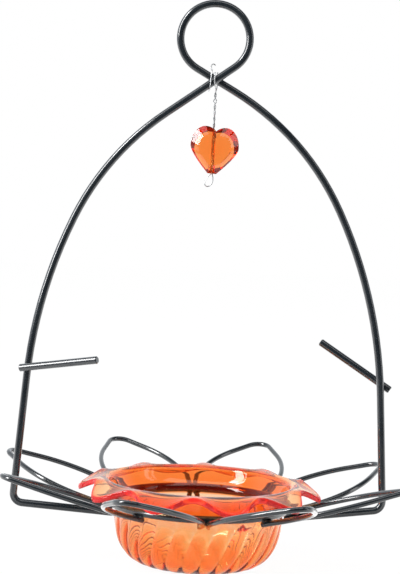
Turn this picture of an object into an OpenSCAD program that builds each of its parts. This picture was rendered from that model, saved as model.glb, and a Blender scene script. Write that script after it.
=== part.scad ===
// Hanging oriole feeder: a bent steel hanger with a hook loop, two fruit spikes, a ring of eight wire
// petals and a fluted jelly cup that drops into the ring. A clear heart bead hangs in the arch.
// The cup's flat base stands on z = 0, X runs across the hanger and the front is -Y.

/* [Hanger rod] */
// Diameter of the hanger rod and of the fruit spikes
rod_d = 3.9; // [3:0.1:5]
// Distance between the two legs at their feet, centre to centre
leg_span = 190.4; // [180:0.2:204]
// Height of the crossing above the cup ring
cross_height = 216.9; // [210:0.1:230]
// Place of the crossing across the hanger, to the right of the middle
cross_shift = -1.8; // [-4:0.2:4]
// Slope of the two strands where they cross, with the loop upright
cross_slope = 32.4; // [28:0.2:36]
// Lean of the loop and the crossing to the left
loop_lean = 4; // [0:0.2:6]
// Radius of the hanging loop to the rod's centre
loop_r = 17.6; // [13:0.2:24]
// Bend radius of each shoulder
shoulder_r = 138; // [120:1:150]
// Bend radius of the flatter curve below each shoulder
flank_r = 243; // [200:1:280]
// Slope of each leg where it reaches its foot
leg_slope = 86; // [84:0.5:88]
// Bend radius at each foot
foot_r = 5; // [4.5:0.5:12]
// Slope at which the feet run down towards the ring
foot_slope = 5.5; // [4:0.1:8]
// How much steeper the right foot is, and the left one flatter
foot_tilt = 1.5; // [0:0.1:2]

/* [Fruit spikes] */
// Length of a fruit spike
spike_length = 44; // [30:1:60]
// Length of the left spike that stands outside its leg
left_spike_outside = 4.5; // [3.5:0.5:12]
// Length of the right spike that stands outside its leg
right_spike_outside = 7; // [3.5:0.5:12]
// Height of the left spike's weld above the ring
left_spike_height = 67; // [50:0.5:110]
// Rise of the left spike towards its inner end
left_spike_rise = 10; // [0:1:35]
// Turn of the left spike's inner end towards the front
left_spike_turn = 26; // [0:1:30]
// Height of the right spike's weld above the ring
right_spike_height = 65.5; // [50:0.5:110]
// Rise of the right spike towards its inner end
right_spike_rise = 31; // [0:1:40]
// Turn of the right spike's inner end towards the back
right_spike_turn = 17; // [0:1:25]
// Chamfer at the ends of a spike
spike_chamfer = 0.4; // [0.1:0.1:0.8]

/* [Cup ring and petals] */
// Diameter of the cup ring's rod
ring_d = 3.9; // [3:0.1:4.4]
// Diameter of the petals' wire
wire_d = 2.7; // [2:0.1:2.9]
// Radius of the cup ring to the rod's centre
ring_r = 45.5; // [38:0.1:54]
// Rise of the petals above the level
petal_rise = 17.5; // [10:0.5:28]
// Gap between the ends of neighbouring petals
foot_clearance = 1.4; // [1.3:0.1:4]
// Closest gap between neighbouring petals, further out
petal_gap = 0.3; // [0.1:0.1:1.2]
// Slope at which a petal's sides close in on its tip, which sets the petal's length
petal_close = 36.6; // [30:0.2:42]
// Bend radius of a petal's sides
petal_side_r = 50; // [40:1:56]
// Bend radius of a petal's tip
petal_tip_r = 7.5; // [5:0.5:12]
// Length of wire left inside each weld
petal_stub = 1.2; // [0.6:0.1:1.5]

/* [Feeding cup] */
// Depth of the cup below the middle of the ring
cup_depth = 31.6; // [26:0.2:40]
// Gap between the bowl and the ring, seen from below
bowl_gap = 0.2; // [0.15:0.05:3]
// Radius of the flat base
base_r = 22; // [16:0.5:28]
// Wall thickness
wall = 2.0; // [1.6:0.1:2.4]
// Height of the crest of the mouth above the ring
crest_height = 12; // [11:0.5:16]
// Reach of the crest of the mouth beyond the ring
crest_out = 3.1; // [2.5:0.1:5.5]
// Mean reach of the ruffled edge beyond the ring
ruffle_out = 12.9; // [11.5:0.1:16.5]
// Swing of the ruffled edge in and out
ruffle_swing = 3.6; // [0:0.1:4.5]
// Mean height of the ruffled edge above the ring
ruffle_height = 8; // [7.8:0.1:9.5]
// Swing of the ruffled edge up and down
ruffle_lift = 2.8; // [0:0.1:3.2]
// Thickness of the ruffled edge
edge_wall = 3; // [2:0.1:3.5]
// Number of waves round the edge
ruffle_waves = 10; // [8:1:12]
// Number of flutes round the bowl
flute_count = 27; // [20:1:30]
// Depth of the flutes
flute_depth = 0.7; // [0.2:0.1:1]
// Turn of the flutes between the ring and the base
flute_swirl = 15; // [0:1:30]

/* [Ornament] */
// Diameter of the ornament wire
orn_wire_d = 0.6; // [0.4:0.05:0.7]
// Depth of the bead's lower end below the crossing
bead_drop = 47.6; // [44:0.2:56]
// Width of the heart bead
heart_w = 24.6; // [20:0.2:30]
// Height of the heart bead
heart_h = 23.8; // [20:0.2:28]
// Thickness of the heart bead
heart_t = 9.6; // [7:0.2:14]
// Depth of the notch in the top of the heart
heart_notch = 2.3; // [1:0.1:4]
// Lean of the heart on its wire
heart_lean = 3.5; // [0:0.5:6]
// Diameter of the bead's hole
bead_hole_d = 1.9; // [1.7:0.05:2.4]
// Bulge of the open eye below the bead, to the left
eye_bulge = 1.9; // [1.4:0.1:3]
// Height of the open eye below the bead
eye_drop = 6.4; // [5:0.2:10]

/* [Hidden] */
$fn = 64;

// Welded pieces stay separate solids, this far apart.
weld_gap = 0.05;
// A bend is a hair thicker than the straight that runs into it, and the straight runs in this far.
bend_swell = 0.02;
run_in = 0.15;

rod_r = rod_d / 2;
wire_r = wire_d / 2;
ring_rod_r = ring_d / 2;
ring_z = cup_depth;
cross_z = ring_z + cross_height;
// Half the distance between the two strands of the rod where they cross
strand_y = rod_r + weld_gap;

steel = [0.09, 0.10, 0.11];
plastic = [0.98, 0.42, 0.12];
silver = [0.72, 0.73, 0.74];
acrylic = [0.93, 0.30, 0.08];

// Rod along +X that follows a bender's schedule. Each step is [straight, bend radius, bend angle], and
// every bend turns to the right in the XY plane.
module bent_rod(steps, d, i = 0) {
  straight = steps[i][0];
  radius = steps[i][1];
  turn = steps[i][2];
  run_back = i == 0 ? 0 : run_in;
  run_on = turn > 0 ? run_in : 0;
  if (straight > 0)
    translate([-run_back, 0, 0])
      rotate([0, 90, 0]) cylinder(d = d, h = straight + run_back + run_on);
  if (turn > 0)
    translate([straight, 0, 0]) {
      translate([0, -radius, 0])
        rotate([0, 0, 90 - turn])
          rotate_extrude(angle = turn)
            translate([radius, 0]) circle(d = d + bend_swell);
      if (i + 1 < len(steps))
        translate([radius * sin(turn), -radius * (1 - cos(turn)), 0])
          rotate([0, 0, -turn]) bent_rod(steps, d, i + 1);
    }
}

// Cup ring and petals. Every petal is one bent wire whose two ends lie under the ring.
petal_count = 8;
petal_pitch = 360 / petal_count;
petal_drop = (ring_rod_r + wire_r + weld_gap) / cos(petal_rise);
// Distance from a petal's foot to the middle of the V between two petals
stub_y = (wire_d + foot_clearance) / 2;
petal_foot_angle = petal_pitch / 2 - asin(stub_y / ring_r);
petal_foot_x = ring_r * cos(petal_foot_angle);
petal_foot_y = ring_r * sin(petal_foot_angle);
// The sides leave the ring at an angle that brings them within petal_gap of their neighbours, bend
// inwards and close in on the tip bend along a straight.
petal_splay = petal_pitch / 2 + acos(1 - (foot_clearance - petal_gap) / 2 / petal_side_r);
side_end_y = petal_foot_y + petal_side_r * (cos(petal_close) - cos(petal_splay));
side_straight = (side_end_y - petal_tip_r * cos(petal_close)) / sin(petal_close);

module petal(i) {
  steps = [
    [petal_stub, petal_side_r, petal_splay + petal_close],
    [side_straight, petal_tip_r, 180 - 2 * petal_close],
    [side_straight, petal_side_r, petal_splay + petal_close],
    [petal_stub, 0, 0]
  ];
  color(steel)
    rotate([0, 0, petal_pitch * (i + 0.5)])
      translate([petal_foot_x, 0, ring_z - petal_drop])
        rotate([0, -petal_rise, 0])
          translate([0, petal_foot_y, 0])
            rotate([0, 0, petal_splay])
              translate([-petal_stub, 0, 0])
                bent_rod(steps, wire_d);
}

module cup_ring() {
  color(steel)
    translate([0, 0, ring_z])
      rotate_extrude() translate([ring_r, 0]) circle(d = ring_d);
}

// Hanger rod. Each half starts at the top of the loop, comes round to the crossing and goes on as the
// leg of the other side. The strands cross one behind the other, so each leg leans to the middle plane.
knee_gap = 0.12;
knee_swell = 0.06;
knee_turn = 0.4;
short_straight = 0.5;
shoulder_share = 0.6;

// A foot lies in the V between the ends of two petals, under the ring.
foot_end_x = ring_r - petal_stub;
stub_z = ring_z - petal_drop - petal_stub * cos(petal_splay) * sin(petal_rise);
foot_z = stub_z - sqrt(pow(rod_r + wire_r / cos(petal_rise) + weld_gap, 2) - stub_y * stub_y);
leg_x = leg_span / 2;
leg_tilt = atan(strand_y / (cross_z - foot_z));

// The two sides differ a little. A side is 1 for the right leg, which is the strand behind, and -1 for
// the left leg.
function strand_slope(side) = cross_slope - side * loop_lean;
function shoulder_turn(side) = (leg_slope - strand_slope(side)) * shoulder_share;
function flank_slope(side) = strand_slope(side) + shoulder_turn(side);
function foot_fall(side) = foot_slope + side * foot_tilt;
function foot_length(side) = (leg_x - foot_r * (sin(leg_slope) - sin(foot_fall(side))) - foot_end_x)
  / cos(foot_fall(side));
function leg_drop(side) = (cross_z - foot_z) / cos(leg_tilt) - foot_length(side) * sin(foot_fall(side))
  - foot_r * (cos(leg_slope) + cos(foot_fall(side)));
// What the bends leave to the straights above and below them, across and down
function rest_x(side) = leg_x - side * cross_shift
  - shoulder_r * (sin(flank_slope(side)) - sin(strand_slope(side)))
  - short_straight * cos(flank_slope(side))
  - flank_r * (sin(leg_slope) - sin(flank_slope(side)));
function rest_drop(side) = leg_drop(side)
  - shoulder_r * (cos(strand_slope(side)) - cos(flank_slope(side)))
  - short_straight * sin(flank_slope(side))
  - flank_r * (cos(flank_slope(side)) - cos(leg_slope));
function neck_straight(side) = (rest_x(side) * sin(leg_slope) - rest_drop(side) * cos(leg_slope))
  / sin(leg_slope - strand_slope(side));
function leg_straight(side) =
  (rest_drop(side) * cos(strand_slope(side)) - rest_x(side) * sin(strand_slope(side)))
  / sin(leg_slope - strand_slope(side));

// The strands meet the loop's circle along tangents from the crossing.
loop_rise = loop_r / cos(cross_slope);
loop_tangent = loop_r * tan(cross_slope);
loop_tilt = asin(strand_y / (loop_rise + loop_r));

module at_loop_top(side) {
  translate([side * cross_shift, 0, cross_z])
    rotate([0, -side * loop_lean, 0])
      translate([0, 0, (loop_rise + loop_r) * cos(loop_tilt)]) children();
}

module hanger_half(side) {
  loop_steps = [[0, loop_r, 180 - cross_slope - knee_turn], [loop_tangent - knee_gap, 0, 0]];
  leg_steps = [
    [neck_straight(side) - knee_gap, shoulder_r, shoulder_turn(side)],
    [short_straight, flank_r, leg_slope - flank_slope(side)],
    [leg_straight(side), foot_r, 180 - foot_fall(side) - leg_slope],
    [foot_length(side), 0, 0]
  ];
  at_loop_top(side)
    rotate([loop_tilt, 0, 0]) mirror([1, 0, 0]) rotate([90, 0, 0])
      translate([loop_r * sin(knee_turn), -loop_r * (1 - cos(knee_turn)), 0])
        rotate([0, 0, -knee_turn]) bent_rod(loop_steps, rod_d);
  translate([side * cross_shift, strand_y, cross_z]) {
    sphere(d = rod_d + knee_swell);
    rotate([90 - leg_tilt, 0, 0])
      rotate([0, 0, -strand_slope(side)]) translate([knee_gap, 0, 0])
        bent_rod(leg_steps, rod_d);
  }
}

module hanger_rod() {
  color(steel) {
    hanger_half(1);
    rotate([0, 0, 180]) hanger_half(-1);
    at_loop_top(1) sphere(d = rod_d + knee_swell);
  }
}

// Fruit spikes. Each is welded across its leg, the left one in front and the right one behind.
function leg_at(side, z) = let (
    flank_end_z = cross_z - leg_drop(side) + leg_straight(side) * sin(leg_slope),
    flank_cx = leg_x - leg_straight(side) * cos(leg_slope) - flank_r * sin(leg_slope),
    flank_cz = flank_end_z - flank_r * cos(leg_slope)
  ) z < flank_end_z
    ? leg_x - (z - cross_z + leg_drop(side)) / tan(leg_slope)
    : flank_cx + sqrt(flank_r * flank_r - pow(z - flank_cz, 2));
function lean_at(z) = strand_y * (z - foot_z) / (cross_z - foot_z);

module spike_rod(outside) {
  profile = [
    [0, 0], [rod_r - spike_chamfer, 0], [rod_r, spike_chamfer], [rod_r, spike_length - spike_chamfer],
    [rod_r - spike_chamfer, spike_length], [0, spike_length]
  ];
  translate([-outside, 0, 0])
    rotate([0, 90, 0]) rotate_extrude() polygon(profile);
}

module left_fruit_spike() {
  z = ring_z + left_spike_height;
  y = -lean_at(z) - (rod_d + weld_gap) / cos(left_spike_turn);
  color(steel)
    translate([-leg_at(-1, z), y, z])
      rotate([0, -left_spike_rise, -left_spike_turn]) spike_rod(left_spike_outside);
}

module right_fruit_spike() {
  z = ring_z + right_spike_height;
  y = lean_at(z) + (rod_d + weld_gap) / cos(right_spike_turn);
  color(steel)
    translate([leg_at(1, z), y, z])
      rotate([0, -right_spike_rise, 180 - right_spike_turn]) spike_rod(right_spike_outside);
}

// Feeding cup. Rows of points run from the edge of the base up the outside, over the ruffled edge and
// the crest of the mouth, and down the inside to the floor. Columns follow the swirl of the flutes.
flute_samples = 4;
columns = flute_count * flute_samples;
bowl_r = ring_r - ring_rod_r - bowl_gap;
crest_r = ring_r + crest_out;
ruffle_r = ring_r + ruffle_out;
bowl_power = 2.5;
seat_gap = 0.15;
neck_drop = 3;
edge_swell = 0.6;
edge_droop = 1.3;
// A crest of the ruffle stands this far round from +X.
wave_start = 263.6;
bowl_steps = [0, 15, 30, 42, 54, 66, 78, 90];
neck_steps = [180, 158, 136, 114];
flange_steps = [0.3, 0.65];

function fade(t) = min(1, t / 18) * min(1, (90 - t) / 12);
function flute(j) = abs(sin(180 * j / flute_samples));
function bowl_row(t, inset, fluted) = let (
    depth = cup_depth - neck_drop - inset,
    r = base_r + (bowl_r - inset - base_r) * pow(sin(t), 2 / bowl_power),
    z = ring_z - neck_drop - depth * pow(cos(t), 2 / bowl_power),
    twist = flute_swirl * pow(cos(t), 2 / bowl_power)
  ) [for (j = [0 : columns - 1])
      let (a = 360 * j / columns - twist, hollow = fluted * flute_depth * fade(t) * (1 - flute(j)))
        [(r - hollow) * cos(a), (r - hollow) * sin(a), z]];
function plain_row(r, z) = [for (j = [0 : columns - 1])
  let (a = 360 * j / columns) [r * cos(a), r * sin(a), ring_z + z]];
// The crest is round and the edge waves in and out as it waves up and down. Where the edge is high it
// lies further in.
function wave(a) = cos(ruffle_waves * (a - wave_start));
// A face of 1 is the top of the flange and -1 its underside.
function flange_row(s, face, out) = [for (j = [0 : columns - 1])
  let (
    a = 360 * j / columns,
    edge_r = ruffle_r - ruffle_swing * wave(a),
    edge_z = ruffle_height + ruffle_lift * wave(a),
    crest_z = crest_height - wall / 2,
    r = crest_r + s * (edge_r - crest_r) + out,
    thick = wall + s * (edge_wall - wall),
    z = crest_z + (edge_z - crest_z) * pow(s, edge_droop) + face * thick / 2
  ) [r * cos(a), r * sin(a), ring_z + z]];

seat_r = ring_rod_r + seat_gap;
under_crest = crest_height - 4.2;
cup_rows = concat(
  [for (t = bowl_steps) bowl_row(t, 0, 1)],
  [for (f = neck_steps) plain_row(ring_r + seat_r * cos(f), seat_r * sin(f))],
  [plain_row(crest_r - 2.2, 0.4 * crest_height), plain_row(crest_r - 1.3, under_crest)],
  [for (s = flange_steps) flange_row(s, -1, 0)],
  [flange_row(1, -1, 0), flange_row(1, 0, edge_swell), flange_row(1, 1, 0)],
  [for (i = [len(flange_steps) - 1 : -1 : 0]) flange_row(flange_steps[i], 1, 0)],
  [flange_row(0, 1, 0), plain_row(crest_r - 1.6, crest_height - 0.8)],
  [plain_row(crest_r - 1.3 - wall, under_crest), plain_row(crest_r - 2.3 - wall, 0.4 * crest_height)],
  [plain_row(ring_r - seat_r - wall, 0)],
  [for (i = [len(bowl_steps) - 1 : -1 : 0]) bowl_row(bowl_steps[i], wall, 0)]
);

module feeding_cup() {
  rows = len(cup_rows);
  last = rows * columns + 1;
  points = concat([[0, 0, 0]], [for (row = cup_rows) each row], [[0, 0, wall]]);
  function at(i, j) = 1 + i * columns + j % columns;
  faces = concat(
    [for (j = [0 : columns - 1]) [0, at(0, j), at(0, j + 1)]],
    [for (i = [0 : rows - 2], j = [0 : columns - 1]) [at(i, j), at(i + 1, j), at(i + 1, j + 1)]],
    [for (i = [0 : rows - 2], j = [0 : columns - 1]) [at(i, j), at(i + 1, j + 1), at(i, j + 1)]],
    [for (j = [0 : columns - 1]) [last, at(rows - 1, j + 1), at(rows - 1, j)]]
  );
  color(plastic, 0.8) polyhedron(points = points, faces = faces, convexity = 6);
}

// Tube of round section swept along points. Each ring's frame is the one before it squared up to the
// path again, so the tube doesn't twist.
function unit(v) = v / norm(v);
function along(p, i) = unit(p[min(i + 1, len(p) - 1)] - p[max(i - 1, 0)]);
function square_to(n, t) = unit(n - (n * t) * t);
module tube(path, d, sides) {
  count = len(path);
  normals = [
    for (i = 0, n = square_to([0.3, 1, 0.1], along(path, 0));
      i < count;
      i = i + 1, n = square_to(n, along(path, min(i, count - 1)))) n
  ];
  points = [for (i = [0 : count - 1])
    let (t = along(path, i), n = normals[i], b = cross(t, n))
      for (k = [0 : sides - 1]) path[i] + d / 2 * (cos(360 * k / sides) * n + sin(360 * k / sides) * b)];
  faces = concat(
    [[for (k = [sides - 1 : -1 : 0]) k]],
    [for (i = [0 : count - 2], k = [0 : sides - 1])
      let (a = i * sides, m = (k + 1) % sides) [a + k, a + m, a + sides + m, a + sides + k]],
    [[for (k = [0 : sides - 1]) (count - 1) * sides + k]]
  );
  polyhedron(points = points, faces = faces, convexity = 10);
}

// Ornament wire: one length folded double. Its fold is the open eye under the bead, both strands run up
// through the bead and twist, and above they bind the strands of the rod where they cross. Places are
// measured from the crossing.
orn_gap = 0.2;
orn_r = orn_wire_d / 2;
strand_off = orn_r + 0.05;
stem_top = -6.4;
bead_bottom = -bead_drop;
bead_top = bead_bottom + heart_h - heart_notch;
eye_top = bead_bottom - 0.3;
stem_turns = 3.25;
eye_lobe = 0.9;
stem_samples = 39;
bind_power = 0.55;
bind_ease = 1.06;
bind_step = 18;
// The steeper of the two strands
bind_slope = cross_slope + loop_lean;
bind_y = strand_y + rod_r + orn_r + orn_gap;

function power(v, p) = sign(v) * pow(abs(v), p);
// A turn round the crossing is a squarish loop that is taller the further it lies from the middle.
function bind_z(x) = (rod_r / cos(bind_slope) + abs(x) * tan(bind_slope) + orn_r + orn_gap) * bind_ease;
function bind(f, x) = [x, -bind_y * power(-cos(f), bind_power), bind_z(x) * power(sin(f), bind_power)];
function stem_off(z) = strand_off + 0.4 * exp(-pow((z + 10.8) / 1.6, 2));
function stem(s, start) = let (
    z = stem_top + (bead_top - stem_top) * s,
    a = start + 360 * stem_turns * s
  ) [stem_off(z) * cos(a), stem_off(z) * sin(a), z];
function eye(s) = [
  strand_off * cos(180 * s) + eye_bulge * (eye_lobe * sin(360 * s) - sin(180 * s)), 0,
  eye_top - eye_drop * pow(sin(180 * s), 1.2)
];

curl_r = 1.1;
curl_at = [-1.75, 6.8];
front_turns = [[90, -2.3], [270, -3.5], [450, -0.5], [540, -1.2], [620, -0.4]];
back_turn = [[-60, 0.8], [0, 1.1], [90, 0.5]];
curl_path = concat(
  [for (f = [20 : 32 : 180]) [curl_at[0] + curl_r * cos(f), 0, curl_at[1] + curl_r * sin(f)]],
  [[-2.85, 0.1, 6.2], [-2.72, -0.1, 5.5], [-2.55, -0.9, 4.9]]
);
ornament_path = concat(
  curl_path,
  [for (f = [108 : bind_step : 600]) bind(f, lookup(f, front_turns))],
  [[-0.1, -1.5, -4.6], [0, -0.7, -5.6]],
  [for (i = [0 : stem_samples]) stem(i / stem_samples, -90)],
  [for (s = [0 : 0.1 : 1]) eye(s)],
  [for (i = [stem_samples : -1 : 0]) stem(i / stem_samples, 90)],
  [[0.3, 0.9, -5.5], [0.6, 1.9, -4.6]],
  [for (f = [-60 : bind_step : 102]) bind(f, lookup(f, back_turn))]
);

module ornament_wire() {
  color(silver)
    translate([cross_shift, 0, cross_z]) tube(ornament_path, orn_wire_d, 6);
}

// Heart bead. Its outline is two lobes and two straight-ended sides, with a broad bevel front and back.
lobe_x = 0.21 * heart_w;
waist_z = 0.58 * heart_h;
tip_half_w = 2.2;
bevel_inset = 0.79;
girdle_share = 0.16;
face_crown = 0.6;
notch_turn = 60;
bore_overrun = 5;
function lobe_inner(b) = [
  lobe_x * (1 - sin(b) / sin(notch_turn)),
  heart_h - heart_notch * (1 - cos(b)) / (1 - cos(notch_turn))
];
function lobe_outer(a) = [
  lobe_x + (heart_w / 2 - lobe_x) * sin(a), waist_z + (heart_h - waist_z) * cos(a)
];
function side(s) = let (corner = [heart_w / 2, heart_w / 2 - tip_half_w])
  (1 - s) * (1 - s) * [heart_w / 2, waist_z] + 2 * s * (1 - s) * corner + s * s * [tip_half_w, 0];
heart_half = concat(
  [for (b = [40 : -20 : 0]) lobe_inner(b)],
  [for (a = [18 : 18 : 90]) lobe_outer(a)],
  [for (s = [0.2 : 0.2 : 1]) side(s)]
);
heart_outline = concat(
  [[0, heart_h - heart_notch]],
  heart_half,
  [for (i = [len(heart_half) - 1 : -1 : 0]) [-heart_half[i][0], heart_half[i][1]]]
);

module heart_solid() {
  count = len(heart_outline);
  middle = [0, 0.53 * heart_h];
  layers = [
    [bevel_inset, -heart_t / 2 + face_crown], [1, -girdle_share * heart_t],
    [1, girdle_share * heart_t], [bevel_inset, heart_t / 2 - face_crown]
  ];
  rings = [for (layer = layers, p = heart_outline)
    let (q = middle + layer[0] * (p - middle)) [q[0], layer[1], q[1]]];
  points = concat(rings, [[0, -heart_t / 2, middle[1]], [0, heart_t / 2, middle[1]]]);
  last = len(layers) - 1;
  function at(i, k) = i * count + k % count;
  faces = concat(
    [for (k = [0 : count - 1]) [count * len(layers), at(0, k), at(0, k + 1)]],
    [for (i = [0 : last - 1], k = [0 : count - 1]) [at(i, k), at(i + 1, k), at(i + 1, k + 1), at(i, k + 1)]],
    [for (k = [0 : count - 1]) [count * len(layers) + 1, at(last, k + 1), at(last, k)]]
  );
  polyhedron(points = points, faces = faces, convexity = 4);
}

module heart_bead() {
  color(acrylic, 0.8)
    translate([cross_shift, 0, cross_z + bead_bottom])
      difference() {
        rotate([0, heart_lean, 0]) heart_solid();
        translate([0, 0, -bore_overrun]) cylinder(d = bead_hole_d, h = heart_h + 2 * bore_overrun);
      }
}

hanger_rod();
left_fruit_spike();
right_fruit_spike();
cup_ring();
petal(0);  // petal_1
petal(1);  // petal_2
petal(2);  // petal_3
petal(3);  // petal_4
petal(4);  // petal_5
petal(5);  // petal_6
petal(6);  // petal_7
petal(7);  // petal_8
feeding_cup();
ornament_wire();
heart_bead();
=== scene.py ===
"""Looks for a hanging bird feeder: wire hanger, petals, jelly cup and heart bead.

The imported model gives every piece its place. This script dresses the wire and rods, models the
moulded cup, the bead and the welds in finer form, and sets up a plain studio.
"""
import logging
import math
from dataclasses import dataclass
from enum import Enum
from typing import Callable, Iterable

import bmesh
import bpy
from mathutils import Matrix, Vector


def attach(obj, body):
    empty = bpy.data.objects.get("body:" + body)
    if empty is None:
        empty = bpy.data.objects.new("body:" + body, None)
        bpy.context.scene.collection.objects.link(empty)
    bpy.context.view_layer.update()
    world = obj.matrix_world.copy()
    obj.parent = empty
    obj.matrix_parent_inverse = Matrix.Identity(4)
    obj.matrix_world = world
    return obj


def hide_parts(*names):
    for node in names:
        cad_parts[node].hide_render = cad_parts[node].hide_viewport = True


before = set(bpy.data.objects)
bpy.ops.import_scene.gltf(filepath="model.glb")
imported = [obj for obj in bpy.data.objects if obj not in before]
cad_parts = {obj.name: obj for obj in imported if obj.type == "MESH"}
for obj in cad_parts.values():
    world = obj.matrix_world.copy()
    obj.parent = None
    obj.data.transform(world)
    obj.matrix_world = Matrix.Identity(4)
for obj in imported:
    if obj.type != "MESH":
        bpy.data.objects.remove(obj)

LOG = logging.getLogger("bird_feeder")
MM = 0.001
MERGE_DISTANCE = 1e-6
KEYS_PER_METRE = 1e7
MAP_MIDDLE = 0.5
RING_Z = 31.6 * MM
RING_R = 45.5 * MM
PETALS = 8
Ring = list[Vector]
Point = tuple[float, float]
Span = tuple[float, float]
Triple = tuple[float, float, float]
ColourStops = tuple[tuple[float, Triple], ...]


class Body(Enum):
    """The rigid bodies that pieces ride on."""

    FEEDER = "feeder"
    BEAD = "bead"


class Slot(Enum):
    """The material slots."""

    STEEL = "black_steel"
    PLASTIC = "orange_plastic"
    SILVER = "silver_wire"
    ACRYLIC = "orange_acrylic"


class Zone(Enum):
    """Places along the first axis of the cup's UV map, which starts at 0 in the base's middle."""

    BOWL = 0.2
    NECK = 0.3
    LIP = 0.4
    CREST = 0.45
    FLANGE = 0.5
    RIM = 0.9
    EDGE = 1.0


def deselect_all() -> None:
    """Leave edit mode and deselect every object."""
    if bpy.context.object is not None and bpy.context.object.mode != "OBJECT":
        bpy.ops.object.mode_set(mode="OBJECT")
    bpy.ops.object.select_all(action="DESELECT")


def make_active(piece: bpy.types.Object) -> None:
    """Select one object alone and make it active.

    Args:
        piece: The object that the next operators act on.
    """
    deselect_all()
    piece.select_set(True)
    bpy.context.view_layer.objects.active = piece


def settle(piece: bpy.types.Object) -> None:
    """Put an object's place, turn and scale into its mesh.

    Args:
        piece: The mesh object to settle at the origin.
    """
    make_active(piece)
    bpy.ops.object.transform_apply(location=True, rotation=True, scale=True)


def smooth(piece: bpy.types.Object, angle: float) -> None:
    """Shade an object smooth, with its sharp edges kept.

    Args:
        piece: The mesh object to shade.
        angle: The turn between two faces, in degrees, from which their edge stays sharp.
    """
    make_active(piece)
    bpy.ops.object.shade_smooth_by_angle(angle=math.radians(angle))


def point_outwards(piece: bpy.types.Object) -> None:
    """Merge doubles and turn every face of a closed mesh outwards.

    Args:
        piece: The mesh object to mend.
    """
    make_active(piece)
    bpy.ops.object.mode_set(mode="EDIT")
    bpy.ops.mesh.select_all(action="SELECT")
    bpy.ops.mesh.remove_doubles(threshold=MERGE_DISTANCE)
    bpy.ops.mesh.normals_make_consistent(inside=False)
    bpy.ops.object.mode_set(mode="OBJECT")


def key(place: Vector) -> tuple[int, int, int]:
    """Round a place to a tenth of a micrometre, to find its point again."""
    return tuple(round(value * KEYS_PER_METRE) for value in place)


def select_ring(piece: bpy.types.Object, ring: Ring) -> None:
    """Select the edges of one ring alone.

    Args:
        piece: The mesh object, in edit mode.
        ring: The ring's points.
    """
    mesh = bmesh.from_edit_mesh(piece.data)
    wanted = {key(place) for place in ring}
    bpy.ops.mesh.select_all(action="DESELECT")
    for vertex in mesh.verts:
        vertex.select = key(vertex.co) in wanted
    for edge in mesh.edges:
        edge.select = all(vertex.select for vertex in edge.verts)
    bmesh.update_edit_mesh(piece.data)


def close_selected(piece: bpy.types.Object, hub: Vector) -> None:
    """Close the selected ring with a fan to a point.

    Args:
        piece: The mesh object, in edit mode.
        hub: The point that the fan runs to.
    """
    bpy.ops.mesh.extrude_edges_move()
    bpy.ops.mesh.merge(type="CENTER")
    mesh = bmesh.from_edit_mesh(piece.data)
    for vertex in (v for v in mesh.verts if v.select):
        vertex.co = hub
    bmesh.update_edit_mesh(piece.data)


def loft(name: str, rings: list[Ring], hubs: tuple[Vector, Vector]) -> bpy.types.Object:
    """Model a closed piece by extruding a circle from ring to ring.

    The circle's own radius is only a start, because its points move to the first ring.

    Args:
        name: The object's name.
        rings: Rings of equally many points, in order.
        hubs: The points that close the first and the last ring.

    Returns:
        The piece, at the origin and in object mode.
    """
    deselect_all()
    bpy.ops.mesh.primitive_circle_add(vertices=len(rings[0]), radius=10 * MM)
    piece = bpy.context.object
    piece.name = name
    bpy.ops.object.mode_set(mode="EDIT")
    mesh = bmesh.from_edit_mesh(piece.data)
    order = sorted(mesh.verts, key=lambda v: math.atan2(v.co.y, v.co.x) % math.tau)
    for vertex, place in zip(order, rings[0]):
        vertex.co = place
    bmesh.update_edit_mesh(piece.data)
    select_ring(piece, rings[0])
    close_selected(piece, hubs[0])
    select_ring(piece, rings[0])
    for before, ring in zip(rings, rings[1:]):
        bpy.ops.mesh.extrude_edges_move()
        mesh = bmesh.from_edit_mesh(piece.data)
        column = {key(place): i for i, place in enumerate(before)}
        for vertex in (v for v in mesh.verts if v.select):
            vertex.co = ring[column[key(vertex.co)]]
        bmesh.update_edit_mesh(piece.data)
    close_selected(piece, hubs[1])
    point_outwards(piece)
    settle(piece)
    return piece


def dress(piece: bpy.types.Object, finish: bpy.types.Material) -> None:
    """Give an object one material in place of those it has.

    Args:
        piece: The mesh object to dress.
        finish: The material it shows.
    """
    piece.data.materials.clear()
    piece.data.materials.append(finish)


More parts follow.
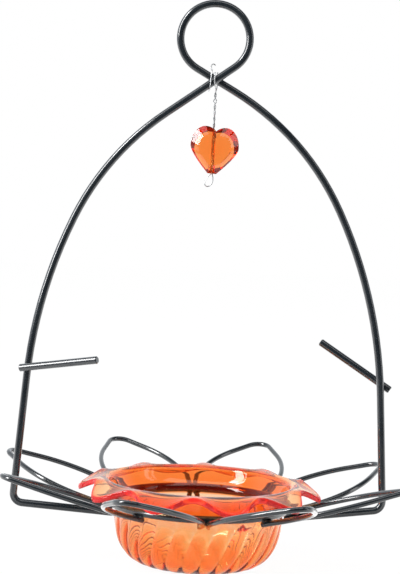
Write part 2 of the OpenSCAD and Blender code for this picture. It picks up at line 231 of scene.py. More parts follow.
class Nodes:
    """Short calls for adding and joining the nodes of one tree."""

    noise_span: Span = (0.3, 0.7)

    def __init__(self, tree: bpy.types.NodeTree) -> None:
        """Take up a node tree.

        Args:
            tree: The tree that the calls work in.
        """
        self.tree = tree

    def node(self, kind: str, **settings: object) -> bpy.types.Node:
        """Add a node.

        Args:
            kind: The node's type without its ShaderNode prefix.
            **settings: Node properties, or input values under the input's name with underscores.

        Returns:
            The new node.
        """
        made = self.tree.nodes.new("ShaderNode" + kind)
        for name, value in settings.items():
            socket = made.inputs.get(name.replace("_", " "))
            if socket is not None:
                socket.default_value = value
            else:
                setattr(made, name, value)
        return made

    def link(self, start: bpy.types.NodeSocket, end: bpy.types.NodeSocket) -> None:
        """Join an output to an input."""
        self.tree.links.new(start, end)

    def axis(self, source: str, name: str) -> bpy.types.NodeSocket:
        """Read one axis of a coordinate.

        Args:
            source: The coordinate's name, such as Object or UV.
            name: The axis, X, Y or Z.

        Returns:
            The axis's value socket.
        """
        place = self.node("TexCoord")
        axes = self.node("SeparateXYZ")
        self.link(place.outputs[source], axes.inputs["Vector"])
        return axes.outputs[name]

    def noise(
        self, scale: float, detail: float = 2.0, stretch: Triple = (1, 1, 1)
    ) -> bpy.types.NodeSocket:
        """Add noise on the object's own coordinates.

        Args:
            scale: The number of noise cells in a metre.
            detail: The number of finer layers.
            stretch: How much denser the noise is along X, Y and Z.

        Returns:
            The noise's value socket.
        """
        place = self.node("TexCoord")
        mapping = self.node("Mapping", Scale=stretch)
        texture = self.node("TexNoise", Scale=scale, Detail=detail)
        self.link(place.outputs["Object"], mapping.inputs["Vector"])
        self.link(mapping.outputs["Vector"], texture.inputs["Vector"])
        return texture.outputs["Fac"]

    def spread(
        self, value: bpy.types.NodeSocket, span: Span, result: Span
    ) -> bpy.types.NodeSocket:
        """Spread a value from one range over another.

        Args:
            value: The socket to read.
            span: The value's range.
            result: The results at the range's two ends.

        Returns:
            The spread value's socket.
        """
        ranged = self.node(
            "MapRange", From_Min=span[0], From_Max=span[1], To_Min=result[0], To_Max=result[1]
        )
        self.link(value, ranged.inputs["Value"])
        return ranged.outputs["Result"]

    def ramp(self, value: bpy.types.NodeSocket, stops: ColourStops) -> bpy.types.NodeSocket:
        """Turn a value into a colour.

        Args:
            value: The socket to read.
            stops: Values from 0 to 1 in rising order, each with its colour.

        Returns:
            The colour's socket.
        """
        ramp = self.node("ValToRGB")
        elements = ramp.color_ramp.elements
        for element, (share, colour) in zip((elements[0], elements[1]), (stops[0], stops[-1])):
            element.position = share
            element.color = (*colour, 1)
        for share, colour in stops[1:-1]:
            elements.new(share).color = (*colour, 1)
        self.link(value, ramp.inputs["Fac"])
        return ramp.outputs["Color"]

    def blend(
        self, value: bpy.types.NodeSocket, first: Triple, second: Triple
    ) -> bpy.types.NodeSocket:
        """Blend two colours by a noise's value.

        Args:
            value: The socket to read.
            first: The colour at the noise's low end.
            second: The colour at its high end.

        Returns:
            The blended colour's socket.
        """
        low, high = self.noise_span
        return self.ramp(value, ((low, first), (high, second)))

    def bump(self, height: bpy.types.NodeSocket, depth: float) -> bpy.types.NodeSocket:
        """Add a bump.

        Args:
            height: The socket with the height.
            depth: The height of a full step, in metres.

        Returns:
            The bumped normal's socket.
        """
        bumped = self.node("Bump", Strength=1.0, Distance=depth)
        self.link(height, bumped.inputs["Height"])
        return bumped.outputs["Normal"]

    def mix(
        self,
        share: bpy.types.NodeSocket,
        first: bpy.types.NodeSocket,
        second: bpy.types.NodeSocket,
    ) -> bpy.types.NodeSocket:
        """Mix two shaders.

        Args:
            share: The socket with the second shader's share.
            first: The first shader's socket.
            second: The second shader's socket.

        Returns:
            The mixed shader's socket.
        """
        mixed = self.node("MixShader")
        self.link(share, mixed.inputs["Fac"])
        self.link(first, mixed.inputs[1])
        self.link(second, mixed.inputs[2])
        return mixed.outputs["Shader"]

    def combine(
        self, operation: str, first: bpy.types.NodeSocket, second: bpy.types.NodeSocket
    ) -> bpy.types.NodeSocket:
        """Combine two values.

        Args:
            operation: The Math node's operation.
            first: The first value's socket.
            second: The second value's socket.

        Returns:
            The result's socket.
        """
        combined = self.node("Math", operation=operation)
        self.link(first, combined.inputs[0])
        self.link(second, combined.inputs[1])
        return combined.outputs["Value"]


class Finish(Nodes):
    """A material with its node tree."""

    def __init__(self, name: str) -> None:
        """Start a material with its output node alone.

        Args:
            name: The material's name.
        """
        self.material = bpy.data.materials.new(name)
        self.material.use_nodes = True
        super().__init__(self.material.node_tree)
        self.tree.nodes.clear()
        self.output = self.node("OutputMaterial")

    def show(self, shader: bpy.types.NodeSocket) -> bpy.types.Material:
        """Show a shader on the surface.

        Args:
            shader: The shader's socket.

        Returns:
            The finished material.
        """
        self.link(shader, self.output.inputs["Surface"])
        return self.material


@dataclass(frozen=True)
class PowderCoat:
    """Black powder coat: satin, with a fine pebbled skin."""

    name: str = "black_powder_coat"
    deep: Triple = (0.006, 0.009, 0.012)
    pale: Triple = (0.011, 0.015, 0.019)
    rough: Span = (0.20, 0.32)
    refraction: float = 1.5
    gloss: float = 1.0
    gloss_rough: float = 0.08
    mottle_scale: float = 60.0
    mottle_detail: float = 3.0
    pebble_size: float = 0.5 * MM
    pebble_depth: float = 0.0015 * MM

    def build(self) -> bpy.types.Material:
        """Make the material.

        Returns:
            The powder coat.
        """
        finish = Finish(self.name)
        shader = finish.node(
            "BsdfPrincipled",
            IOR=self.refraction,
            Coat_Weight=self.gloss,
            Coat_Roughness=self.gloss_rough,
        )
        mottle = finish.noise(scale=self.mottle_scale, detail=self.mottle_detail)
        pebbles = finish.noise(scale=1 / self.pebble_size)
        roughness = finish.spread(mottle, finish.noise_span, self.rough)
        finish.link(finish.blend(mottle, self.deep, self.pale), shader.inputs["Base Color"])
        finish.link(roughness, shader.inputs["Roughness"])
        finish.link(finish.bump(pebbles, self.pebble_depth), shader.inputs["Normal"])
        return finish.show(shader.outputs["BSDF"])


@dataclass(frozen=True)
class ClearPlastic:
    """Clear tinted plastic whose colour deepens with the thickness that is looked through.

    The tints, the painted light's colours and its share change along the first axis of the UV map.
    The painted light is a diffuse layer mixed over the clear shader. On the cup, the tints also
    hold painted light and shade besides the plastic's colour.
    """

    name: str
    tints_and_painted_light: ColourStops
    painted_light_colours: ColourStops
    painted_light_share: tuple[Span, ...]
    stain: Triple
    density: float
    rough: float
    refraction: float = 1.45
    ripple_size: float = 6 * MM
    ripple_detail: float = 1.0
    ripple_depth: float = 0.02 * MM

    def build(self) -> bpy.types.Material:
        """Make the material.

        Returns:
            The clear plastic.
        """
        finish = Finish(self.name)
        place = finish.axis("UV", "X")
        shader = finish.node(
            "BsdfPrincipled", Roughness=self.rough, IOR=self.refraction, Transmission_Weight=1.0
        )
        ripples = finish.noise(scale=1 / self.ripple_size, detail=self.ripple_detail)
        finish.link(finish.ramp(place, self.tints_and_painted_light), shader.inputs["Base Color"])
        finish.link(finish.bump(ripples, self.ripple_depth), shader.inputs["Normal"])
        # A diffuse layer of painted light, mixed over the clear shader by its share.
        painted_light_layer = finish.node("BsdfDiffuse")
        finish.link(finish.ramp(place, self.painted_light_colours), painted_light_layer.inputs["Color"])
        greys = tuple((share, (value, value, value)) for share, value in self.painted_light_share)
        painted_light_share = finish.ramp(place, greys)
        stain = finish.node("VolumeAbsorption", Density=self.density, Color=(*self.stain, 1))
        finish.link(stain.outputs["Volume"], finish.output.inputs["Volume"])
        return finish.show(finish.mix(painted_light_share, shader.outputs["BSDF"], painted_light_layer.outputs["BSDF"]))


@dataclass(frozen=True)
class BrightWire:
    """Drawn silver wire with fine scratches."""

    name: str = "silver_wire"
    dull: Triple = (0.46, 0.47, 0.48)
    bright: Triple = (0.74, 0.75, 0.76)
    rough: Span = (0.38, 0.52)
    scratch_scale: float = 1500.0
    scratch_stretch: Triple = (1, 1, 0.2)

    def build(self) -> bpy.types.Material:
        """Make the material.

        Returns:
            The silver wire.
        """
        finish = Finish(self.name)
        shader = finish.node("BsdfPrincipled", Metallic=1.0)
        scratches = finish.noise(scale=self.scratch_scale, stretch=self.scratch_stretch)
        roughness = finish.spread(scratches, finish.noise_span, self.rough)
        finish.link(finish.blend(scratches, self.dull, self.bright), shader.inputs["Base Color"])
        finish.link(roughness, shader.inputs["Roughness"])
        return finish.show(shader.outputs["BSDF"])


CUP_PLASTIC = ClearPlastic(
    name="orange_clear_plastic",
    # Painted light and shade in the tints: paler high on the bowl and deeper at its base, painted
    # shade in a deeper red round the neck where the cup ring sits in its groove, and a red rim
    # painted in place of the deep colour seen lengthwise through the thick edge.
    tints_and_painted_light=(
        (0.0, (1.0, 0.45, 0.05)),
        (0.11, (1.0, 0.84, 0.50)),
        (0.15, (1.0, 0.95, 0.86)),
        (0.22, (1.0, 0.95, 0.86)),
        (0.3, (1.0, 0.34, 0.09)),
        (0.36, (1.0, 0.38, 0.12)),
        (0.45, (1.0, 1.0, 0.76)),
        (0.8, (1.0, 0.96, 0.72)),
        (1.0, (1.0, 0.40, 0.34)),
    ),
    # Painted light in the diffuse layer: a faint red fill over body and flange where the bounce
    # limit leaves dark arcs, a pinkish painted highlight along the crest of the mouth, and a deep
    # red on the rim in place of the colour seen lengthwise through the thick edge.
    painted_light_colours=(
        (0.0, (1.0, 0.10, 0.05)),
        (0.35, (0.9, 0.06, 0.03)),
        (0.42, (1.0, 0.62, 0.42)),
        (0.52, (1.0, 0.45, 0.14)),
        (0.85, (1.0, 0.20, 0.08)),
        (1.0, (0.80, 0.04, 0.04)),
    ),
    # The painted light's share: faint on body and flange, stronger on the crest's highlight and
    # strongest on the rim.
    painted_light_share=((0.0, 0.035), (0.37, 0.03), (0.42, 0.18), (0.48, 0.03), (0.85, 0.03), (1.0, 0.42)),
    stain=(0.99, 0.50, 0.0),
    density=360.0,
    rough=0.02,
)
BEAD_ACRYLIC = ClearPlastic(
    name="orange_clear_acrylic",
    tints_and_painted_light=((0.0, (0.94, 0.97, 0.95)), (1.0, (0.94, 0.97, 0.95))),
    # A faint red layer of painted light over the whole bead.
    painted_light_colours=((0.0, (0.9, 0.12, 0.03)), (1.0, (0.9, 0.12, 0.03))),
    painted_light_share=((0.0, 0.04), (1.0, 0.04)),
    stain=(0.985, 0.54, 0.0),
    density=345.0,
    rough=0.0,
    refraction=1.49,
    ripple_depth=0.0,
)


@dataclass
class Hanger:
    """The bent rod, its fruit spikes, the cup ring and the petals, as packed."""

    rods: tuple[str, ...] = ("hanger_rod", "left_fruit_spike", "right_fruit_spike", "cup_ring")
    petal_count: int = PETALS
    smooth_angle: float = 60.0

    def nodes(self) -> list[str]:
        """List the wire and rod nodes."""
        return [*self.rods, *(f"petal_{i + 1}" for i in range(self.petal_count))]

    def build(self, coat: bpy.types.Material) -> None:
        """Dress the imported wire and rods.

        Args:
            coat: The powder coat.
        """
        for name in self.nodes():
            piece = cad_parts[name]
            dress(piece, coat)
            smooth(piece, self.smooth_angle)


@dataclass
class OrnamentWire:
    """The silver wire that carries the bead, as packed."""

    smooth_angle: float = 75.0

    def build(self, silver: bpy.types.Material) -> None:
        """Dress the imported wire.

        Args:
            silver: The silver wire's finish.
        """
        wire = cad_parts["ornament_wire"]
        dress(wire, silver)
        smooth(wire, self.smooth_angle)


@dataclass
class FeedingCup:
    """The moulded cup: a fluted bowl, a neck round the cup ring and a ruffled flange.

    The steps of the neck and its throat are pairs. A neck step is a distance inside the crest and
    a share of the crest's height. A ridge step is a drop below the ring's middle and a share of
    the ridge. A throat step is a share of the crest's height and a share of the way out to it.
    """

    ring_z: float = RING_Z
    ring_r: float = RING_R
    ring_rod_r: float = 1.95 * MM
    seat_gap: float = 0.15 * MM
    neck_drop: float = 3 * MM
    bowl_r: float = 43.35 * MM
    base_r: float = 22 * MM
    bowl_power: float = 2.5
    bowl_samples: int = 22
    wall: float = 2.0 * MM
    ridge: float = 0.6 * MM
    crest_r: float = 48.6 * MM
    crest_height: float = 12 * MM
    lip_inset: float = 1.6 * MM
    lip_drop: float = 0.7 * MM
    groove_turns: tuple[int, ...] = (180, 168, 156, 144, 132, 120)
    neck_steps: tuple[Span, ...] = ((2.1 * MM, 0.38), (1.5 * MM, 0.55), (1.1 * MM, 0.72))
    ridge_steps: tuple[Span, ...] = (
        (2.0 * MM, 0.55),
        (1.0 * MM, 0.9),
        (0.0, 1.0),
        (-0.9 * MM, 0.8),
    )
    throat_steps: tuple[Span, ...] = (
        (0.17, 0.16),
        (0.25, 0.30),
        (0.35, 0.45),
        (0.47, 0.58),
        (0.6, 0.69),
        (0.72, 0.79),
        (0.84, 0.9),
    )
    ruffle_r: float = 58.4 * MM
    ruffle_swing: float = 3.6 * MM
    ruffle_height: float = 8 * MM
    ruffle_lift: float = 2.8 * MM
    ruffle_waves: int = 10
    wave_start: float = 263.6
    flange_samples: int = 9
    edge_wall: float = 3 * MM
    edge_swell: float = 0.6 * MM
    edge_droop: float = 1.3
    edge_turns: tuple[int, ...] = (-75, -50, -25, 0, 25, 50, 75)
    flute_count: int = 27
    flute_samples: int = 10
    flute_depth: float = 1.1 * MM
    flute_swirl: float = 15.0
    flute_crispness: float = 1.3
    flute_rise: float = 5.0
    flute_fall: float = 7.5

    @property
    def columns(self) -> int:
        """Number of points round each ring."""
        return self.flute_count * self.flute_samples

    def around(self, place: Callable[[float, int], Triple]) -> Ring:
        """Make one ring of points.

        Args:
            place: Gives a point's turn in degrees, radius and height from its own turn and column.

        Returns:
            The ring's points, in order.
        """
        ring = []
        for column in range(self.columns):
            turn, radius, height = place(360 * column / self.columns, column)
            angle = math.radians(turn)
            ring.append(Vector((radius * math.cos(angle), radius * math.sin(angle), height)))
        return ring

    def plain_ring(self, radius: float, height: float) -> Ring:
        """Make a round ring at a height above the cup ring."""
        return self.around(lambda turn, column: (turn, radius, self.ring_z + height))

    def bowl_ring(self, share: float, inset: float, fluted: bool) -> Ring:
        """Make a ring of the bowl.

        Args:
            share: 0 at the base and 1 just below the cup ring.
            inset: How far inside the outer face the ring lies.
            fluted: Whether the flutes show on this face.

        Returns:
            The ring's points.
        """
        angle = math.radians(90 * share)
        rise = max(0.0, math.cos(angle)) ** (2 / self.bowl_power)
        swell = math.sin(angle) ** (2 / self.bowl_power)
        radius = self.base_r + (self.bowl_r - inset - self.base_r) * swell
        height = self.ring_z - self.neck_drop - (self.ring_z - self.neck_drop - inset) * rise
        fade = min(1.0, self.flute_rise * share) * min(1.0, self.flute_fall * (1 - share))
        depth = self.flute_depth * fade if fluted else 0.0

        def place(turn: float, column: int) -> Triple:
            """Sink a point by its place in its flute, and swirl it.

            Args:
                turn: The point's own turn, in degrees.
                column: Its column.

            Returns:
                Its turn, radius and height.
            """
            crown = abs(math.sin(math.pi * column / self.flute_samples))
            valley = (1 - crown) ** self.flute_crispness
            return turn - self.flute_swirl * rise, radius - depth * valley, height

        return self.around(place)

    def flange_ring(self, share: float, face: float, out: float = 0.0) -> Ring:
        """Make a ring of the ruffled flange.

        Args:
            share: 0 at the crest of the mouth and 1 at the edge.
            face: 1 on the top of the flange, -1 on its underside and 0 between them.
            out: How far beyond the edge the ring lies.

        Returns:
            The ring's points.
        """
        crest_z = self.crest_height - self.wall / 2
        thick = self.wall + share * (self.edge_wall - self.wall)

        def place(turn: float, column: int) -> Triple:
            """Carry a point out and down along its wave.

            Args:
                turn: The point's own turn, in degrees.
                column: Its column.

            Returns:
                Its turn, radius and height.
            """
            wave = math.cos(math.radians(self.ruffle_waves * (turn - self.wave_start)))
            edge_r = self.ruffle_r - self.ruffle_swing * wave
            edge_z = self.ruffle_height + self.ruffle_lift * wave
            radius = self.crest_r + share * (edge_r - self.crest_r) + out
            height = crest_z + (edge_z - crest_z) * share**self.edge_droop + face * thick / 2
            return turn, radius, self.ring_z + height

        return self.around(place)

    def outer_neck(self) -> list[Ring]:
        """Make the outer rings from the groove round the cup ring up to the crest.

        Returns:
            The rings, from below.
        """
        seat_r = self.ring_rod_r + self.seat_gap
        rings = []
        for angle in (math.radians(turn) for turn in self.groove_turns):
            out, up = seat_r * math.cos(angle), seat_r * math.sin(angle)
            rings.append(self.plain_ring(self.ring_r + out, up))
        for inset, share in self.neck_steps:
            rings.append(self.plain_ring(self.crest_r - inset, share * self.crest_height))
        return rings

    def inner_neck(self) -> list[Ring]:
        """Make the inner rings from the bowl up to the crest, over a ridge behind the groove.

        Returns:
            The rings, from below.
        """
        foot_r = self.bowl_r - self.wall
        ridge_r = foot_r - self.ridge
        top_r = self.crest_r - self.lip_inset
        rings = []
        for drop, share in self.ridge_steps:
            rings.append(self.plain_ring(foot_r + (ridge_r - foot_r) * share, -drop))
        for share, out in self.throat_steps:
            radius = ridge_r + (top_r - ridge_r) * out
            rings.append(self.plain_ring(radius, share * self.crest_height))
        return rings

    def flange(self, face: float) -> list[tuple[float, Ring]]:
        """Make the rings of one face of the flange.

        Args:
            face: 1 for the top and -1 for the underside.

        Returns:
            The rings from the crest to the edge, each after its place on the UV map.
        """
        start, width = Zone.FLANGE.value, Zone.RIM.value - Zone.FLANGE.value
        shares = [i / self.flange_samples for i in range(1, self.flange_samples)]
        return [(start + width * share, self.flange_ring(share, face)) for share in shares]

    def bowl(self, inset: float, fluted: bool) -> list[tuple[float, Ring]]:
        """Make the rings of one face of the bowl.

        Args:
            inset: How far inside the outer face the rings lie.
            fluted: Whether the flutes show on this face.

        Returns:
            The rings from the base to the neck, each after its place on the UV map.
        """
        shares = [i / self.bowl_samples for i in range(self.bowl_samples + 1)]
        top = Zone.BOWL.value
        return [(top * share, self.bowl_ring(share, inset, fluted)) for share in shares]

    def rings(self) -> list[tuple[float, Ring]]:
        """Make every ring from the base's edge over the flange and down to the floor's edge.

        Returns:
            The rings in order, each after its place on the UV map.
        """
        rings = self.bowl(0, True)
        rings += [(Zone.NECK.value, ring) for ring in self.outer_neck()]
        rings += self.flange(-1)
        for turn in (math.radians(turn) for turn in self.edge_turns):
            ring = self.flange_ring(1, math.sin(turn), self.edge_swell * math.cos(turn))
            rings.append((Zone.EDGE.value, ring))
        rings += reversed(self.flange(1))
        rings.append((Zone.CREST.value, self.flange_ring(0, 1)))
        lip = self.plain_ring(self.crest_r - self.lip_inset, self.crest_height - self.lip_drop)
        rings.append((Zone.LIP.value, lip))
        rings += [(Zone.NECK.value, ring) for ring in reversed(self.inner_neck())]
        rings += reversed(self.bowl(self.wall, False))
        return rings

    def unwrap(self, cup: bpy.types.Object, rings: list[tuple[float, Ring]]) -> None:
        """Lay the place between base and edge along the first axis of the UV map.

        Args:
            cup: The cup's mesh object.
            rings: The rings, each after its place.
        """
        shares = {key(place): share for share, ring in rings for place in ring}
        make_active(cup)
        bpy.ops.object.mode_set(mode="EDIT")
        mesh = bmesh.from_edit_mesh(cup.data)
        layer = mesh.loops.layers.uv.verify()
        for face in mesh.faces:
            for loop in face.loops:
                loop[layer].uv = (shares.get(key(loop.vert.co), 0.0), MAP_MIDDLE)
        bmesh.update_edit_mesh(cup.data)
        bpy.ops.object.mode_set(mode="OBJECT")

    def sharpen_creases(self, cup: bpy.types.Object) -> None:
        """Keep the creases between the flutes crisp.

        Args:
            cup: The cup's mesh object.
        """
        fluted = [ring for _, ring in self.bowl(0, True)[1:-1]]
        columns = range(0, self.columns, self.flute_samples)
        creases = {key(ring[column]) for ring in fluted for column in columns}
        make_active(cup)
        bpy.ops.object.mode_set(mode="EDIT")
        mesh = bmesh.from_edit_mesh(cup.data)
        bpy.ops.mesh.select_all(action="DESELECT")
        for edge in mesh.edges:
            edge.select = all(key(vertex.co) in creases for vertex in edge.verts)
        bmesh.update_edit_mesh(cup.data)
        bpy.ops.mesh.mark_sharp()
        bpy.ops.object.mode_set(mode="OBJECT")

    def build(self, plastic: bpy.types.Material) -> bpy.types.Object:
        """Model the cup and let it stand for its solid.

        Args:
            plastic: The clear orange plastic.

        Returns:
            The cup.
        """
        hubs = (Vector((0, 0, 0)), Vector((0, 0, self.wall)))
        rings = self.rings()
        cup = loft("jelly_cup", [ring for _, ring in rings], hubs)
        bpy.ops.object.shade_smooth()
        self.unwrap(cup, rings)
        self.sharpen_creases(cup)
        dress(cup, plastic)
        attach(cup, Body.FEEDER.value)
        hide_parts("feeding_cup")
        return cup


@dataclass
class HeartBead:
    """The bevelled heart on its wire, with a hole from top to tip."""

    place: Triple = (-1.8 * MM, 0.0, 200.9 * MM)
    width: float = 24.6 * MM
    height: float = 23.8 * MM
    thickness: float = 9.6 * MM
    lean: float = 3.5
    hole_d: float = 1.9 * MM
    hole_points: int = 32
    notch: float = 2.3 * MM
    notch_turn: float = 60.0
    notch_points: int = 7
    lobe_share: float = 0.21
    lobe_points: int = 20
    waist_share: float = 0.58
    tip_half_w: float = 2.2 * MM
    flank_points: int = 21
    middle_share: float = 0.53
    table_share: float = 0.675
    table_drop: float = 0.7 * MM
    girdle_share: float = 0.108
    crown: float = 0.4 * MM
    facet_points: int = 5
    smooth_angle: float = 10.0

    def notch_side(self) -> list[Point]:
        """Trace the bend from beside the notch to the top of the right lobe.

        Returns:
            Points across and up.
        """
        lobe_x = self.lobe_share * self.width
        full = math.radians(self.notch_turn)
        points = []
        for i in range(1, self.notch_points + 1):
            turn = full * (1 - i / (self.notch_points + 1))
            dip = (1 - math.cos(turn)) / (1 - math.cos(full))
            across = lobe_x * (1 - math.sin(turn) / math.sin(full))
            points.append((across, self.height - self.notch * dip))
        return points

    def lobe_side(self) -> list[Point]:
        """Trace the right lobe from its top to the waist.

        Returns:
            Points across and up.
        """
        lobe_x = self.lobe_share * self.width
        waist_z = self.waist_share * self.height
        points = []
        for i in range(self.lobe_points + 1):
            turn = math.radians(90) * i / self.lobe_points
            across = lobe_x + (self.width / 2 - lobe_x) * math.sin(turn)
            points.append((across, waist_z + (self.height - waist_z) * math.cos(turn)))
        return points

    def flank(self) -> list[Point]:
        """Trace the right flank from the waist down to the tip.

        Returns:
            Points across and up.
        """
        half = self.width / 2
        waist_z = self.waist_share * self.height
        corner = (half, half - self.tip_half_w)
        points = []
        for i in range(1, self.flank_points + 1):
            share = i / self.flank_points
            start, bend, end = (1 - share) ** 2, 2 * share * (1 - share), share**2
            across = start * half + bend * corner[0] + end * self.tip_half_w
            points.append((across, start * waist_z + bend * corner[1]))
        return points

    def outline(self) -> list[Point]:
        """Trace the whole outline, clockwise from the notch.

        Returns:
            Points across and up.
        """
        right = [*self.notch_side(), *self.lobe_side(), *self.flank()]
        return [(0.0, self.height - self.notch), *right, *((-x, z) for x, z in reversed(right))]

    def table(self, outline: list[Point]) -> list[Point]:
        """Straighten the outline between every few points, for the bevel's flat facets.

        Args:
            outline: The girdle's outline.

        Returns:
            As many points, on the table's edge.
        """
        middle = self.middle_share * self.height
        ends = [*range(0, len(outline), self.facet_points), len(outline)]
        points = []
        for low, high in zip(ends, ends[1:]):
            first, second = outline[low], outline[high % len(outline)]
            for i in range(low, high):
                share = (i - low) / (high - low)
                x = first[0] + share * (second[0] - first[0])
                z = first[1] + share * (second[1] - first[1])
                up = middle - self.table_drop + self.table_share * (z - middle)
                points.append((x * self.table_share, up))
        return points

    def seat(self, x: float, y: float, z: float) -> Vector:
        """Lean a point of the upright bead and put it in its place.

        Args:
            x: The point's place across the upright bead.
            y: Its place in depth.
            z: Its place above the tip.

        Returns:
            The point's place in the part.
        """
        turn = math.radians(self.lean)
        across = x * math.cos(turn) + z * math.sin(turn)
        up = z * math.cos(turn) - x * math.sin(turn)
        return Vector((across, y, up)) + Vector(self.place)

    def drill(self, bead: bpy.types.Object) -> None:
        """Drill the hole for the wire.

        Args:
            bead: The bead's mesh object.
        """
        deselect_all()
        bpy.ops.mesh.primitive_cylinder_add(
            vertices=self.hole_points, radius=self.hole_d / 2, depth=2 * self.height
        )
        drill = bpy.context.object
        drill.location = Vector(self.place) + Vector((0, 0, self.height / 2))
        settle(drill)
        cut = bead.modifiers.new("hole", "BOOLEAN")
        cut.operation = "DIFFERENCE"
        cut.object = drill
        make_active(bead)
        bpy.ops.object.modifier_apply(modifier=cut.name)
        make_active(drill)
        bpy.ops.object.delete()

    def build(self, acrylic: bpy.types.Material) -> bpy.types.Object:
        """Model the bead and let it stand for its solid.

        Args:
            acrylic: The clear orange acrylic.

        Returns:
            The bead.
        """
        outline = self.outline()
        table = self.table(outline)
        face_y = self.thickness / 2 - self.crown
        girdle_y = self.girdle_share * self.thickness
        layers = [(table, -face_y), (outline, -girdle_y), (outline, girdle_y), (table, face_y)]
        rings = [[self.seat(x, y, z) for x, z in points] for points, y in layers]
        middle = self.middle_share * self.height
        hubs = tuple(self.seat(0, side * self.thickness / 2, middle) for side in (-1, 1))
        bead = loft("heart_bead_clear", rings, hubs)
        self.drill(bead)
        smooth(bead, self.smooth_angle)
        dress(bead, acrylic)
        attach(bead, Body.BEAD.value)
        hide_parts("heart_bead")
        return bead


@dataclass
class Welds:
    """Small beads of weld where the petals' feet meet the cup ring."""

    ring_z: float = RING_Z
    ring_r: float = RING_R
    petal_count: int = PETALS
    foot_angle: float = 19.92
    drop: float = 2.0 * MM
    size: Triple = (2.6 * MM, 3.4 * MM, 1.5 * MM)
    segments: int = 20
    ring_count: int = 12

    def bead(self, name: str, turn: float) -> bpy.types.Object:
        """Model one bead of weld from a ball that is one metre across, so its scale is its size.

        Args:
            name: The object's name.
            turn: Its turn round the cup ring, in degrees.

        Returns:
            The bead of weld.
        """
        angle = math.radians(turn)
        deselect_all()
        bpy.ops.mesh.primitive_uv_sphere_add(
            segments=self.segments, ring_count=self.ring_count, radius=0.5
        )
        weld = bpy.context.object
        weld.name = name
        weld.scale = self.size
        weld.rotation_euler = (0, 0, angle)
        weld.location = (
            self.ring_r * math.cos(angle), self.ring_r * math.sin(angle), self.ring_z - self.drop
        )
        settle(weld)
        bpy.ops.object.shade_smooth()
        return weld

    def build(self, coat: bpy.types.Material) -> None:
        """Model the beads of weld under the cup ring.

        Args:
            coat: The powder coat.
        """
        for i in range(self.petal_count):
            for foot, side in enumerate((-1, 1), start=1):
                turn = 360 / self.petal_count * (i + 0.5) + side * self.foot_angle
                weld = self.bead(f"weld_{2 * i + foot}", turn)
                dress(weld, coat)
                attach(weld, Body.FEEDER.value)


@dataclass(frozen=True)
class Fade:
    """How a brightness changes over a span of places, directions or distances."""

    span: Span
    strength: Span

    def read(self, nodes: Nodes, value: bpy.types.NodeSocket) -> bpy.types.NodeSocket:
        """Turn a place, direction or distance into a brightness."""
        return nodes.spread(value, self.span, self.strength)


@dataclass(frozen=True)
class RoomLight:
    """How the room's brightness changes towards one side."""

    towards: Triple
    fade: Fade

    def read(self, room: Nodes) -> bpy.types.NodeSocket:
        """Read the room's brightness where a ray leaves it.

        Args:
            room: The nodes of the room's world.

        Returns:
            The brightness's socket.
        """
        place = room.node("TexCoord")
        towards = room.node("VectorMath", operation="DOT_PRODUCT")
        towards.inputs[1].default_value = self.towards
        room.link(place.outputs["Generated"], towards.inputs[0])
        return self.fade.read(room, towards.outputs["Value"])


@dataclass(frozen=True)
class Card:
    """A soft light: its name, width and height, place and power in watts."""

    name: str
    size: Span
    place: Triple
    watts: float


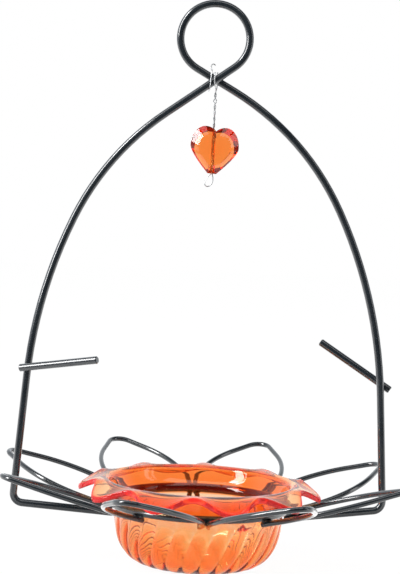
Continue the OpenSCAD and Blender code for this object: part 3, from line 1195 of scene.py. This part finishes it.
@dataclass
class Studio:
    """A pale floor, soft lights and the camera at the viewing angle of the picture.

    The floor and the room are white to the camera. Reflections and what shows through the clear
    pieces see them white behind the feeder and dim in front of it, and reflections see the floor
    dimmer where it lies close to the piece, a painted contact shadow.
    """

    floor_size: float = 6.0
    floor_drop: float = 0.2 * MM
    floor_colour: Triple = (0.9, 0.9, 0.9)
    floor_white: float = 0.96
    floor_reflected: Fade = Fade((-0.3, -0.12), (0.05, 1.5))
    floor_contact_shade: Fade = Fade((0.04, 0.13), (0.4, 1.0))
    floor_seen_through: Fade = Fade((-0.25, -0.05), (0.2, 1.05))
    room_reflected: RoomLight = RoomLight((-0.3, 1.0, -0.9), Fade((-0.5, 0.05), (0.03, 1.0)))
    room_seen_through: RoomLight = RoomLight((0.0, 1.0, 0.0), Fade((-0.5, 0.0), (0.2, 1.2)))
    sky: Triple = (0.92, 0.96, 1.0)
    card_aim: Triple = (0.0, 0.0, 0.14)
    cards: tuple[Card, ...] = (
        Card("left_card", (0.35, 1.1), (-1.15, -0.48, 0.8), 22.0),
        Card("key_card", (0.3, 0.3), (-0.97, -0.36, 1.15), 4.0),
        Card("right_card", (0.3, 1.2), (1.2, -0.3, 0.5), 3.0),
        Card("top_card", (2.4, 0.5), (-0.1, -0.45, 1.45), 8.0),
    )
    focal_pixels: float = 1757.5
    long_pixels: float = 574.0
    sensor: float = 36.0
    clip: Span = (0.01, 50.0)
    camera_place: Triple = (-64.5 * MM, -895 * MM, 196.2 * MM)
    yaw: float = -3.814
    pitch: float = -3.404
    roll: float = 2.827

    def camera(self) -> None:
        """Make the camera and turn it by its yaw, pitch and roll."""
        data = bpy.data.cameras.new("picture_camera")
        data.sensor_fit = "VERTICAL"
        data.sensor_height = self.sensor
        data.sensor_width = self.sensor
        data.lens = self.focal_pixels / self.long_pixels * self.sensor
        data.clip_start, data.clip_end = self.clip
        camera = bpy.data.objects.new("picture_camera", data)
        bpy.context.scene.collection.objects.link(camera)
        yaw, pitch, roll = (math.radians(turn) for turn in (self.yaw, self.pitch, self.roll))
        right = Vector((math.cos(yaw), math.sin(yaw), 0))
        level = Vector((-math.sin(yaw), math.cos(yaw), 0))
        ahead = level * math.cos(pitch) + Vector((0, 0, math.sin(pitch)))
        up = Vector((0, 0, math.cos(pitch))) - level * math.sin(pitch)
        right, up = (
            right * math.cos(roll) + up * math.sin(roll),
            up * math.cos(roll) - right * math.sin(roll),
        )
        turn = camera.matrix_world.copy()
        for column, axis in enumerate((right, up, -ahead, self.camera_place)):
            for row in range(3):
                turn[row][column] = axis[row]
        camera.matrix_world = turn
        bpy.context.scene.camera = camera

    def hang(self, card: Card) -> None:
        """Hang a soft light that faces the feeder.

        Args:
            card: The light to hang.
        """
        data = bpy.data.lights.new(card.name, "AREA")
        data.shape = "RECTANGLE"
        data.size, data.size_y = card.size
        data.energy = card.watts
        light = bpy.data.objects.new(card.name, data)
        light.location = card.place
        ahead = Vector(self.card_aim) - Vector(card.place)
        light.rotation_euler = ahead.to_track_quat("-Z", "Y").to_euler()
        bpy.context.scene.collection.objects.link(light)

    def floor_finish(self) -> bpy.types.Material:
        """Make the pale floor's material.

        Returns:
            The material.
        """
        finish = Finish("pale_floor")
        path = finish.node("LightPath")
        lit = finish.node("BsdfDiffuse", Color=(*self.floor_colour, 1))
        depth = finish.axis("Object", "Y")
        # Painted contact shadow: reflections see the floor dimmer where it lies close to the
        # piece.
        close = self.floor_contact_shade.read(finish, path.outputs["Ray Length"])
        reflected = finish.combine("MULTIPLY", close, self.floor_reflected.read(finish, depth))
        through = self.floor_seen_through.read(finish, depth)
        shader = lit.outputs["BSDF"]
        for ray, strength in (("Is Glossy Ray", reflected), ("Is Transmission Ray", through)):
            white = finish.node("Emission")
            finish.link(strength, white.inputs["Strength"])
            shader = finish.mix(path.outputs[ray], shader, white.outputs["Emission"])
        white = finish.node("Emission", Strength=1.0)
        seen = finish.spread(path.outputs["Is Camera Ray"], (0, 1), (0, self.floor_white))
        return finish.show(finish.mix(seen, shader, white.outputs["Emission"]))

    def floor(self) -> None:
        """Lay the pale floor just under the cup's base."""
        deselect_all()
        place = (0, 0, -self.floor_drop)
        bpy.ops.mesh.primitive_plane_add(size=self.floor_size, location=place)
        floor = bpy.context.object
        floor.name = "floor"
        dress(floor, self.floor_finish())

    def world(self) -> None:
        """Light the room softly, and show it white to the camera."""
        world = bpy.data.worlds.new("studio")
        bpy.context.scene.world = world
        world.use_nodes = True
        room = Nodes(world.node_tree)
        background = room.tree.nodes["Background"]
        path = room.node("LightPath")
        through = room.node("Mix")
        room.link(path.outputs["Is Transmission Ray"], through.inputs["Factor"])
        room.link(self.room_reflected.read(room), through.inputs["A"])
        room.link(self.room_seen_through.read(room), through.inputs["B"])
        even = room.combine("MAXIMUM", path.outputs["Is Diffuse Ray"], through.outputs["Result"])
        seen = room.node("Mix", B=1.0)
        room.link(path.outputs["Is Camera Ray"], seen.inputs["Factor"])
        room.link(even, seen.inputs["A"])
        room.link(seen.outputs["Result"], background.inputs["Strength"])
        sky = room.node("MixRGB", Color1=(1, 1, 1, 1), Color2=(*self.sky, 1))
        room.link(path.outputs["Is Glossy Ray"], sky.inputs["Fac"])
        room.link(sky.outputs["Color"], background.inputs["Color"])

    def build(self) -> None:
        """Set up the floor, the lights, the world and the camera."""
        bpy.context.scene.view_settings.view_transform = "Standard"
        self.floor()
        self.world()
        for card in self.cards:
            self.hang(card)
        self.camera()


def main() -> None:
    """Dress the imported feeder, add the finer pieces and set up the studio."""
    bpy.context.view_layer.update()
    coat = PowderCoat().build()
    hanger = Hanger()
    hanger.build(coat)
    LOG.info("dressed %s", ", ".join(hanger.nodes()))
    Welds().build(coat)
    LOG.info("modelled the beads of weld")
    cup = FeedingCup().build(CUP_PLASTIC.build())
    LOG.info("modelled %s", cup.name)
    bead = HeartBead().build(BEAD_ACRYLIC.build())
    LOG.info("modelled %s", bead.name)
    OrnamentWire().build(BrightWire().build())
    LOG.info("dressed ornament_wire")
    Studio().build()
    LOG.info("set up the studio")
    LOG.info("sizes written")


if __name__ == "__main__":
    logging.basicConfig(level=logging.INFO)
    main()
